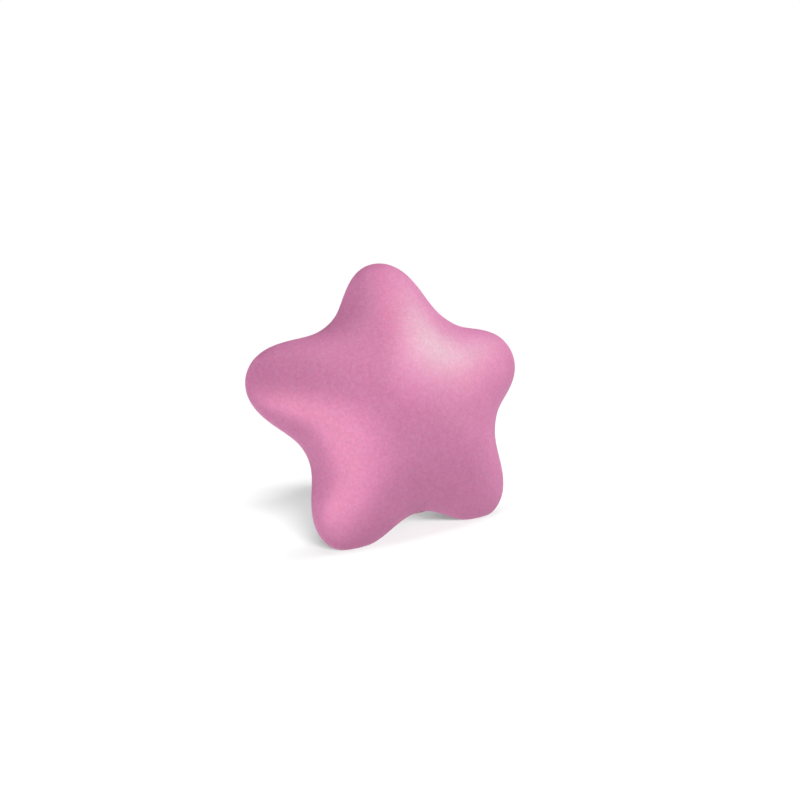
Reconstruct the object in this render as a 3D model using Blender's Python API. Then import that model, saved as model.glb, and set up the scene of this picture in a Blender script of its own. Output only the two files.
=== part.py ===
"""A puffy five-armed star of soft moulded foam, standing on two of its arms.

It has two pieces: a dense coloured skin with a round pour gate in the notch between the feet,
and the soft core that fills the skin and ends in a trimmed stub in that gate.

Units are metres and +Z is up. The front faces -Y, and the origin is on the floor midway between the feet.
"""

import math

import bmesh
import bpy
from mathutils import Matrix, Vector

# Outline, seen from the front. The shares are of the mean radius.
MEAN_RADIUS = 0.0340
ARMS = 5
ARM_REACH = 0.1755
TIP_ROUNDING = 0.007
FLANK_ROUNDING = -0.006

# How late the arms grow out of the round body: 1 is a cone of arms, and a higher power keeps the middle round.
ARM_GROWTH_POWER = 3.2

# Section from the middle to the rim: half the thickness at the middle, how much of it is lost towards the
# rim, and how far the round dome leans towards a crest. The first two are shares of the mean radius.
HALF_THICKNESS = 0.49
RIM_THINNING = 0.075
CREST = 0.18

# Skin, core, feet and pour gate.
SKIN_THICKNESS = 0.0008
CORE_GAP = 0.0003
FOOT_TRIM = 0.0008
GATE_RADIUS = 0.0030
GATE_STUB_RECESS = 0.0004
GATE_REACH = 0.0040

# Mesh fineness: steps around each arm, and rings from the front pole to the back pole.
STEPS_PER_ARM = 12
RINGS = 24
GATE_SEGMENTS = 32


def clear_scene():
    for obj in list(bpy.data.objects):
        bpy.data.objects.remove(obj, do_unlink=True)


def foam_material(name, color, roughness):
    material = bpy.data.materials.new(name)
    material.use_nodes = True
    shader = material.node_tree.nodes["Principled BSDF"]
    shader.inputs["Base Color"].default_value = (*color, 1.0)
    shader.inputs["Roughness"].default_value = roughness
    shader.inputs["Metallic"].default_value = 0.0
    material.diffuse_color = (*color, 1.0)
    return material


def arm_wave(lobe):
    """How far the outline stands out from a circle, where lobe is 0 at a tip and pi in a notch."""
    wave = ARM_REACH * math.cos(lobe)
    wave += TIP_ROUNDING * math.cos(2 * lobe)
    wave += FLANK_ROUNDING * math.cos(3 * lobe)
    return wave


def star_point(around, across):
    """A point of the star about its centre: around is the polar angle from +X, across runs 0 to pi, front to back."""
    lobe = ARMS * (around - math.pi / 2)
    spread = abs(math.sin(across))
    facing = math.cos(across)
    dome = facing * (1 - CREST + CREST * abs(facing))
    radius = spread + arm_wave(lobe) * spread ** ARM_GROWTH_POWER
    depth = HALF_THICKNESS - RIM_THINNING * spread ** 2
    point = Vector((radius * math.cos(around), -depth * dome, radius * math.sin(around)))
    return point * MEAN_RADIUS


def star_bmesh():
    """The closed star about its own centre, as rings of quads between a front and a back pole."""
    bm = bmesh.new()
    steps = ARMS * STEPS_PER_ARM
    front = bm.verts.new(star_point(0, 0))
    back = bm.verts.new(star_point(0, math.pi))
    rings = []
    for ring in range(1, RINGS):
        across = math.pi * ring / RINGS
        rings.append([bm.verts.new(star_point(math.tau * step / steps, across)) for step in range(steps)])
    for step in range(steps):
        after = (step + 1) % steps
        bm.faces.new((front, rings[0][step], rings[0][after]))
        bm.faces.new((back, rings[-1][after], rings[-1][step]))
        for inner, outer in zip(rings, rings[1:]):
            bm.faces.new((inner[step], outer[step], outer[after], inner[after]))
    bmesh.ops.recalc_face_normals(bm, faces=bm.faces)
    return bm


def stand_on_floor(bm):
    """Trims a flat under each foot and lifts the star so that the flats lie at z = 0."""
    floor = min(vert.co.z for vert in bm.verts) + FOOT_TRIM
    whole = bm.verts[:] + bm.edges[:] + bm.faces[:]
    cut = bmesh.ops.bisect_plane(
        bm, geom=whole, plane_co=(0, 0, floor), plane_no=(0, 0, 1), clear_inner=True)
    rim = [item for item in cut["geom_cut"] if isinstance(item, bmesh.types.BMEdge)]
    bmesh.ops.contextual_create(bm, geom=rim)
    bmesh.ops.recalc_face_normals(bm, faces=bm.faces)
    bmesh.ops.translate(bm, verts=bm.verts, vec=(0, 0, -floor))
    return -floor


def add_object(name, bm, material=None):
    mesh = bpy.data.meshes.new(name)
    bm.to_mesh(mesh)
    bm.free()
    obj = bpy.data.objects.new(name, mesh)
    bpy.context.scene.collection.objects.link(obj)
    if material:
        mesh.materials.append(material)
    return obj


def star_object(name, material):
    """A standing star, and the height of its centre above the floor."""
    bm = star_bmesh()
    centre_height = stand_on_floor(bm)
    obj = add_object(name, bm, material)
    obj.data.shade_smooth()
    return obj, centre_height


def upright_cylinder(name, radius, bottom, top):
    """A closed cylinder on the Z axis that only serves as a tool for the Boolean modifiers."""
    bm = bmesh.new()
    bmesh.ops.create_cone(
        bm, cap_ends=True, segments=GATE_SEGMENTS, radius1=radius, radius2=radius, depth=top - bottom,
        matrix=Matrix.Translation((0, 0, (bottom + top) / 2)))
    obj = add_object(name, bm)
    obj.hide_render = True
    obj.display_type = "WIRE"
    return obj


def add_boolean(obj, tool, operation):
    modifier = obj.modifiers.new("gate", "BOOLEAN")
    modifier.object = tool
    modifier.operation = operation
    modifier.solver = "EXACT"


def notch_height(centre_height):
    """Height of the lowest notch, where the pour gate sits."""
    return centre_height + star_point(-math.pi / 2, math.pi / 2).z


def build_outer_skin():
    """The dense skin: a shell grown inwards from the star, opened by the pour gate."""
    pink = foam_material("skin_pink", (0.80, 0.29, 0.50), 0.60)
    skin, centre_height = star_object("outer_skin", pink)
    shell = skin.modifiers.new("shell", "SOLIDIFY")
    shell.thickness = SKIN_THICKNESS
    shell.offset = -1
    shell.use_even_offset = True
    notch = notch_height(centre_height)
    cutter = upright_cylinder("gate_cutter", GATE_RADIUS, notch - GATE_REACH, notch + GATE_REACH)
    add_boolean(skin, cutter, "DIFFERENCE")


def build_foam_core():
    """The soft core: the star shrunk clear of the skin, with the trimmed stub that fills the gate."""
    pale = foam_material("core_pale_pink", (0.86, 0.50, 0.66), 0.90)
    core, centre_height = star_object("foam_core", pale)
    shrink = core.modifiers.new("shrink", "DISPLACE")
    shrink.direction = "NORMAL"
    shrink.mid_level = 0
    shrink.strength = -(SKIN_THICKNESS + CORE_GAP)
    notch = notch_height(centre_height)
    stub = upright_cylinder(
        "gate_stub", GATE_RADIUS - CORE_GAP, notch + GATE_STUB_RECESS, notch + GATE_REACH)
    add_boolean(core, stub, "UNION")


def build():
    clear_scene()
    build_outer_skin()
    build_foam_core()


build()
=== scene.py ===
"""The looks of a puffy five-armed foam star: a fine moulded skin, its soft core, a pale floor and soft light.

Everything is in metres in the CAD's frame: +Z up, the front faces -Y, and the star stands on z = 0.
"""

import math

import bmesh
import bpy
from mathutils import Matrix, Vector


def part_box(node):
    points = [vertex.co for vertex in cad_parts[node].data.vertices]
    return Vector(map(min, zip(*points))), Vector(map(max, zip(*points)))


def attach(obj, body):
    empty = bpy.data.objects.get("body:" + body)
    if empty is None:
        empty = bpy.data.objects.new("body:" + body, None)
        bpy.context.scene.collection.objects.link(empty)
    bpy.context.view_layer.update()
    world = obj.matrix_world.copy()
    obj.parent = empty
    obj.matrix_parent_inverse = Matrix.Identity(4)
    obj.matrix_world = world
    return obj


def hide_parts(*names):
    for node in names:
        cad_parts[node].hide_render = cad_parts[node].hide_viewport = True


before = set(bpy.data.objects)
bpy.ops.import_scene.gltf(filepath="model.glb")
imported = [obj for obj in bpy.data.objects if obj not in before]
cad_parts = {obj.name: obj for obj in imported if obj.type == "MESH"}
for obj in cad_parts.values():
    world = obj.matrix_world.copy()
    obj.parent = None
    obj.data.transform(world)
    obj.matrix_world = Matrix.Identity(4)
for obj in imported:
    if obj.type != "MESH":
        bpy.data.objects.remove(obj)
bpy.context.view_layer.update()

# The star's outline, as in the CAD: shares of its mean radius, and how late the arms grow out of the body.
ARMS = 5
ARM_REACH = 0.1755
TIP_ROUNDING = 0.007
FLANK_ROUNDING = -0.006
ARM_GROWTH_POWER = 3.2

# The star's section, as in the CAD, in shares of the mean radius too. The crest is a share of the dome.
HALF_THICKNESS = 0.49
RIM_THINNING = 0.075
CREST = 0.18

# How far the moulded star's tips and notches stand out from the regular outline, in turn from the top tip
# over the left arm: tip, notch, tip, notch and so on. They are shares of the mean radius too.
UNEVENNESS = (0.0038, 0.0139, 0.0087, -0.0124, -0.0052, -0.0077, -0.0033, -0.0078, 0.0064, 0.0037)

# Skin, pour gate and the soft edge of the flats under the feet. The wall is thinner than in the CAD, because
# the uneven skin dips in towards the core. It still just touches the core in the notch over the left foot.
SKIN_THICKNESS = 0.0006
GATE_RADIUS = 0.0030
GATE_REACH = 0.0040
FOOT_SOFTNESS = 0.0004

# Mesh fineness, and the angle in degrees past which an edge stays crisp, as it does on the gate's rim.
STEPS_PER_ARM = 64
RINGS = 150
GATE_SEGMENTS = 96
SHARP_EDGE = 50

# Skin colour: two shades in broad clouds, and how they turn in the speckle and in the grain.
SKIN_PALE = (0.752, 0.266, 0.488)
SKIN_DEEP = (0.720, 0.248, 0.462)
WARM_SPECKLE = (1.02, 0.91, 0.94)
COOL_SPECKLE = (0.98, 1.08, 1.06)
DARK_GRAIN = (0.85, 0.74, 0.78)
PALE_GRAIN = (1.11, 1.22, 1.18)

# Skin finish: the size of each pattern, the depth of the grain, and the gloss.
CLOUD_SIZE = 0.011
SPECKLE_SIZE = 0.0010
GRAIN_SIZE = 0.0007
GRAIN_DEPTH = 0.000012
SKIN_ROUGHNESS = 0.45
ROUGHNESS_SPREAD = 0.04
SKIN_GLOSS = 0.5

# Core finish. The pore colour is painted shade inside the open cells.
CELL_WALL = (0.86, 0.50, 0.66)
PORE_SHADE = (0.55, 0.22, 0.36)
CELL_SIZE = 0.0006
PORE_DEPTH = 0.00015
CORE_ROUGHNESS = 0.9
CORE_GLOSS = 0.3

# Floor: its colour as it lights the star and as the camera sees it, and the white seen on top of that.
FLOOR_RADIUS = 6.0
FLOOR_BOUNCE = (0.3, 0.3, 0.3)
FLOOR_SEEN = (0.8, 0.8, 0.8)
FLOOR_GLOW = 0.24

# World: the light that it gives, and the brightness that the camera sees.
WORLD_LIGHT = 0.03
WORLD_SEEN = 1.02
WHITE = (1, 1, 1, 1)

# How wide the soft lights on the star are, in degrees.
SOFT_LIGHT_WIDTH = 30

# Camera: the direction that it looks from and its roll in degrees, its distance in mean radii, and its lens.
CAMERA_AZIMUTH = -22.56
CAMERA_ELEVATION = -3.60
CAMERA_ROLL = 9.06
CAMERA_DISTANCE = 3.604
CAMERA_LENS = 20.41
CAMERA_SHIFT = (-0.0006, 0.0096)
SENSOR_WIDTH = 36.0


def arm_wave(lobe):
    """How far the outline stands out from a circle, where lobe is 0 at a tip and pi in a notch."""
    wave = ARM_REACH * math.cos(lobe)
    wave += TIP_ROUNDING * math.cos(2 * lobe)
    wave += FLANK_ROUNDING * math.cos(3 * lobe)
    return wave


def unevenness(around):
    """The small lack of symmetry of a soft moulding, smooth from each tip to the next notch."""
    turn = (around - math.pi / 2) / math.tau * len(UNEVENNESS)
    index = math.floor(turn)
    blend = (1 - math.cos(math.pi * (turn - index))) / 2
    first = UNEVENNESS[index % len(UNEVENNESS)]
    second = UNEVENNESS[(index + 1) % len(UNEVENNESS)]
    return first * (1 - blend) + second * blend


def unit_star_point(around, across, uneven=True):
    """A point of a star with a mean radius of 1, about its centre.

    around is the polar angle from +X, and across runs from 0 at the front pole to pi at the back pole.
    """
    lobe = ARMS * (around - math.pi / 2)
    wave = arm_wave(lobe)
    if uneven:
        wave += unevenness(around)
    spread = abs(math.sin(across))
    facing = math.cos(across)
    dome = facing * (1 - CREST + CREST * abs(facing))
    radius = spread + wave * spread ** ARM_GROWTH_POWER
    depth = HALF_THICKNESS - RIM_THINNING * spread ** 2
    return Vector((radius * math.cos(around), -depth * dome, radius * math.sin(around)))


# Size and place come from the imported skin: its top, and the half of its thickness at the middle.
skin_low, skin_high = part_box("outer_skin")
MEAN_RADIUS = skin_high[1] / HALF_THICKNESS
CENTRE_HEIGHT = skin_high[2] - MEAN_RADIUS * unit_star_point(math.pi / 2, math.pi / 2, uneven=False).z


def press_on_floor(z):
    """The height of a point of the soft foot that stands on the floor, with a smooth edge round the flat."""
    return (z + math.hypot(z, FOOT_SOFTNESS)) / 2


def star_point(around, across):
    """A point of the standing star at its real size."""
    point = unit_star_point(around, across) * MEAN_RADIUS
    point.z = press_on_floor(point.z + CENTRE_HEIGHT)
    return point


def star_mesh(name):
    """The closed star as rings of quads between a front and a back pole."""
    bm = bmesh.new()
    steps = ARMS * STEPS_PER_ARM
    front = bm.verts.new(star_point(0, 0))
    back = bm.verts.new(star_point(0, math.pi))
    rings = []
    for ring in range(1, RINGS):
        across = math.pi * ring / RINGS
        rings.append([bm.verts.new(star_point(math.tau * step / steps, across)) for step in range(steps)])
    for step in range(steps):
        after = (step + 1) % steps
        bm.faces.new((front, rings[0][step], rings[0][after]))
        bm.faces.new((back, rings[-1][after], rings[-1][step]))
        for inner, outer in zip(rings, rings[1:]):
            bm.faces.new((inner[step], outer[step], outer[after], inner[after]))
    bmesh.ops.recalc_face_normals(bm, faces=bm.faces)
    mesh = bpy.data.meshes.new(name)
    bm.to_mesh(mesh)
    bm.free()
    mesh.shade_smooth()
    return mesh


def add_object(name, data):
    obj = bpy.data.objects.new(name, data)
    bpy.context.scene.collection.objects.link(obj)
    return obj


def gate_cutter():
    """An upright cylinder through the skin at the lowest notch."""
    notch = CENTRE_HEIGHT + MEAN_RADIUS * unit_star_point(-math.pi / 2, math.pi / 2).z
    bm = bmesh.new()
    bmesh.ops.create_cone(
        bm, cap_ends=True, segments=GATE_SEGMENTS, radius1=GATE_RADIUS, radius2=GATE_RADIUS,
        depth=2 * GATE_REACH, matrix=Matrix.Translation((0, 0, notch)))
    mesh = bpy.data.meshes.new("gate_cutter")
    bm.to_mesh(mesh)
    bm.free()
    return add_object("gate_cutter", mesh)


def skin_mesh():
    """The skin as a thin shell that the pour gate opens."""
    whole = add_object("whole_skin", star_mesh("whole_skin"))
    shell = whole.modifiers.new("shell", "SOLIDIFY")
    shell.thickness = SKIN_THICKNESS
    shell.offset = -1
    cutter = gate_cutter()
    gate = whole.modifiers.new("gate", "BOOLEAN")
    gate.object = cutter
    gate.operation = "DIFFERENCE"
    gate.solver = "EXACT"
    ready = whole.evaluated_get(bpy.context.evaluated_depsgraph_get())
    mesh = bpy.data.meshes.new_from_object(ready)
    bpy.data.objects.remove(whole)
    bpy.data.objects.remove(cutter)
    mesh.name = "star_skin"
    mesh.set_sharp_from_angle(angle=math.radians(SHARP_EDGE))
    return mesh


class Nodes:
    """Short calls for building a node material on top of a Principled shader."""

    def __init__(self, name):
        self.material = bpy.data.materials.new(name)
        self.material.use_nodes = True
        self.tree = self.material.node_tree
        self.shader = self.tree.nodes["Principled BSDF"]
        self.place = self.tree.nodes.new("ShaderNodeTexCoord").outputs["Object"]

    def set(self, **values):
        for name, value in values.items():
            self.shader.inputs[name.replace("_", " ")].default_value = value

    def noise(self, size, detail=2.0, roughness=0.5):
        """Noise from 0 to 1 whose blobs are about size metres across."""
        node = self.tree.nodes.new("ShaderNodeTexNoise")
        node.inputs["Scale"].default_value = 1 / size
        node.inputs["Detail"].default_value = detail
        node.inputs["Roughness"].default_value = roughness
        self.tree.links.new(self.place, node.inputs["Vector"])
        return node.outputs["Fac"]

    def remap(self, value, low, high, to_low, to_high):
        node = self.tree.nodes.new("ShaderNodeMapRange")
        for name, number in zip(("From Min", "From Max", "To Min", "To Max"), (low, high, to_low, to_high)):
            node.inputs[name].default_value = number
        self.tree.links.new(value, node.inputs["Value"])
        return node.outputs["Result"]

    def mix(self, factor, first, second):
        """A blend of two fixed colours."""
        node = self.tree.nodes.new("ShaderNodeMix")
        node.data_type = "RGBA"
        self.tree.links.new(factor, node.inputs["Factor"])
        for name, color in (("A", first), ("B", second)):
            socket = [item for item in node.inputs if item.name == name and item.type == "RGBA"][0]
            socket.default_value = (*color, 1)
        return [item for item in node.outputs if item.type == "RGBA"][0]

    def multiply(self, first, second):
        """The product of two colours."""
        node = self.tree.nodes.new("ShaderNodeVectorMath")
        node.operation = "MULTIPLY"
        self.tree.links.new(first, node.inputs[0])
        self.tree.links.new(second, node.inputs[1])
        return node.outputs["Vector"]

    def bump(self, height, depth):
        """A bump of that depth in metres."""
        node = self.tree.nodes.new("ShaderNodeBump")
        node.inputs["Distance"].default_value = depth
        self.tree.links.new(height, node.inputs["Height"])
        return node.outputs["Normal"]

    def wire(self, socket, name):
        self.tree.links.new(socket, self.shader.inputs[name])


def skin_material():
    """Soft-touch pink skin: faint cloudy colour, a fine speckled grain, and a broad low gloss."""
    skin = Nodes("foam_skin")
    clouds = skin.remap(skin.noise(CLOUD_SIZE, 3), 0.35, 0.65, 0, 1)
    speckle = skin.remap(skin.noise(SPECKLE_SIZE, 3, 0.7), 0.30, 0.70, 0, 1)
    grain = skin.remap(skin.noise(GRAIN_SIZE, 4, 0.8), 0.25, 0.75, 0, 1)
    body = skin.mix(clouds, SKIN_DEEP, SKIN_PALE)
    turned = skin.multiply(body, skin.mix(speckle, COOL_SPECKLE, WARM_SPECKLE))
    skin.wire(skin.multiply(turned, skin.mix(grain, DARK_GRAIN, PALE_GRAIN)), "Base Color")
    roughest = SKIN_ROUGHNESS + ROUGHNESS_SPREAD
    smoothest = SKIN_ROUGHNESS - ROUGHNESS_SPREAD
    skin.wire(skin.remap(grain, 0, 1, roughest, smoothest), "Roughness")
    skin.wire(skin.bump(grain, GRAIN_DEPTH), "Normal")
    skin.set(Specular_IOR_Level=SKIN_GLOSS)
    return skin.material


def core_material():
    """Open-cell foam, paler than the skin, with each small pore painted darker as shade inside the cell."""
    core = Nodes("foam_cells")
    cells = core.tree.nodes.new("ShaderNodeTexVoronoi")
    cells.inputs["Scale"].default_value = 1 / CELL_SIZE
    core.tree.links.new(core.place, cells.inputs["Vector"])
    pore_depth_and_shade = core.remap(cells.outputs["Distance"], 0.15, 0.55, 0, 1)
    # The darker pore colour is painted shade inside the open cells; the same mask gives each pore its bump.
    core.wire(core.mix(pore_depth_and_shade, PORE_SHADE, CELL_WALL), "Base Color")
    core.wire(core.bump(pore_depth_and_shade, PORE_DEPTH), "Normal")
    core.set(Roughness=CORE_ROUGHNESS, Specular_IOR_Level=CORE_GLOSS)
    return core.material


def add_star():
    """The skin in place of the CAD's, which throws no colour on the floor, and a foam finish on the core."""
    star = add_object("star_skin", skin_mesh())
    star.data.materials.append(skin_material())
    star.visible_diffuse = False
    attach(star, "root")
    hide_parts("outer_skin")
    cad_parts["foam_core"].material_slots[0].material = core_material()
    return star


def floor_material():
    """A pale sweep that the camera sees as white paper and that gives the star less light than that."""
    floor = Nodes("pale_floor")
    camera_ray = floor.tree.nodes.new("ShaderNodeLightPath").outputs["Is Camera Ray"]
    floor.wire(floor.mix(camera_ray, FLOOR_BOUNCE, FLOOR_SEEN), "Base Color")
    floor.wire(floor.remap(camera_ray, 0, 1, 0, FLOOR_GLOW), "Emission Strength")
    floor.set(Emission_Color=WHITE, Roughness=1.0, Specular_IOR_Level=0.0)
    return floor.material


def add_floor():
    """A wide disc that takes shadows and throws none, so that the light from below reaches the star."""
    mesh = bpy.data.meshes.new("floor")
    bm = bmesh.new()
    bmesh.ops.create_circle(bm, cap_ends=True, segments=96, radius=FLOOR_RADIUS)
    bm.to_mesh(mesh)
    bm.free()
    floor = add_object("floor", mesh)
    floor.visible_shadow = False
    mesh.materials.append(floor_material())
    return floor


def direction(azimuth, elevation):
    """The unit vector towards azimuth and elevation in degrees, where azimuth 0 is -Y and 90 is +X."""
    a = math.radians(azimuth)
    e = math.radians(elevation)
    return Vector((math.sin(a) * math.cos(e), -math.cos(a) * math.cos(e), math.sin(e)))


def takers(name, *objects):
    """A group of objects that only some of the lights shine on."""
    group = bpy.data.collections.new(name)
    for obj in objects:
        group.objects.link(obj)
    return group


def add_sun(name, azimuth, elevation, width, color, on, diffuse=True, gloss=True):
    """A distant light from that direction on one group. width is the angle that it fills in degrees."""
    light = bpy.data.lights.new(name, "SUN")
    brightest = max(color)
    light.color = [part / brightest for part in color]
    light.energy = math.pi * brightest
    light.angle = math.radians(width)
    lamp = add_object(name, light)
    lamp.rotation_mode = "QUATERNION"
    lamp.rotation_quaternion = direction(azimuth, elevation).to_track_quat("Z", "Y")
    lamp.light_linking.receiver_collection = on
    lamp.visible_diffuse = diffuse
    lamp.visible_glossy = gloss


def add_soft_light(name, azimuth, elevation, strength, on, width=SOFT_LIGHT_WIDTH):
    """White light that only brightens the body colour."""
    add_sun(name, azimuth, elevation, width, (strength, strength, strength), on, gloss=False)


def add_glow(name, azimuth, elevation, width, strength, tint, on):
    """Tinted light that only shows as the broad gloss of the soft skin."""
    add_sun(name, azimuth, elevation, width, [strength * part for part in tint], on, diffuse=False)


def light_star(star):
    """Body light from all sides, a rosy gloss from the low left and a pale one from the upper right."""
    on = takers("lit_star", star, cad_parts["foam_core"])
    add_soft_light("right", 60, 5, 0.679, on)
    add_soft_light("right_top", 58, 46, 0.184, on)
    add_soft_light("top", -31, 67, 0.568, on)
    add_soft_light("left", -90, -25, 0.583, on)
    add_soft_light("under", -42, -50, 0.255, on)
    add_soft_light("back", 178, 12, 0.55, on)
    add_glow("glow_front", -29, -9, 30, 0.919, (1.00, 0.35, 0.63), on)
    add_glow("glow_low", -15, -35, 30, 0.776, (1.00, 0.32, 0.63), on)
    add_glow("glow_low_left", -45, -43, 30, 0.790, (1.00, 0.36, 0.56), on)
    add_glow("glow_left", -70, -21, 30, 0.965, (1.00, 0.32, 0.60), on)
    add_glow("glow_front_left", -50, -15, 30, 0.581, (1.00, 0.51, 0.37), on)
    add_glow("glow_middle", 18, 18, 20, 0.252, (1.00, 0.20, 0.58), on)
    add_glow("glow_top", 20, 55, 30, 0.251, (1.00, 0.00, 0.12), on)
    add_glow("glow_right", 60, 15, 20, 0.144, (1.00, 0.00, 0.00), on)
    add_glow("shine_left", 26, 35, 20, 0.346, (1.00, 0.82, 0.87), on)
    add_glow("shine_top", 45, 37, 20, 0.341, (0.11, 1.00, 0.48), on)
    add_glow("shine_right", 58, 30, 20, 0.403, (0.30, 1.00, 0.58), on)


def light_floor(floor):
    """Low front light that throws the soft shadow behind the star, and top light for the shadow under it."""
    on = takers("lit_floor", floor)
    add_soft_light("floor_front", -3, 9, 4.4, on, width=18)
    add_soft_light("floor_top", 12, 78, 0.40, on, width=40)


def add_world():
    """Even light from all round, and white where the camera looks past the object."""
    world = bpy.data.worlds.new("studio")
    bpy.context.scene.world = world
    world.use_nodes = True
    nodes = world.node_tree.nodes
    links = world.node_tree.links
    seen = nodes.new("ShaderNodeBackground")
    seen.inputs["Strength"].default_value = WORLD_SEEN
    seen.inputs["Color"].default_value = WHITE
    light = nodes["Background"]
    light.inputs["Color"].default_value = WHITE
    light.inputs["Strength"].default_value = WORLD_LIGHT
    ray = nodes.new("ShaderNodeLightPath")
    mix = nodes.new("ShaderNodeMixShader")
    links.new(ray.outputs["Is Camera Ray"], mix.inputs["Fac"])
    links.new(light.outputs["Background"], mix.inputs[1])
    links.new(seen.outputs["Background"], mix.inputs[2])
    links.new(mix.outputs["Shader"], nodes["World Output"].inputs["Surface"])


def add_camera():
    data = bpy.data.cameras.new("camera")
    data.sensor_width = SENSOR_WIDTH
    data.lens = CAMERA_LENS
    data.shift_x, data.shift_y = CAMERA_SHIFT
    data.clip_start = 0.01
    data.clip_end = 20.0
    camera = add_object("camera", data)
    back = direction(CAMERA_AZIMUTH, CAMERA_ELEVATION)
    camera.location = Vector((0, 0, CENTRE_HEIGHT)) + back * CAMERA_DISTANCE * MEAN_RADIUS
    camera.rotation_mode = "QUATERNION"
    camera.rotation_quaternion = back.to_track_quat("Z", "Y") @ Matrix.Rotation(
        math.radians(-CAMERA_ROLL), 3, "Z").to_quaternion()
    bpy.context.scene.camera = camera


light_star(add_star())
light_floor(add_floor())
add_world()
add_camera()
bpy.context.scene.view_settings.view_transform = "Standard"
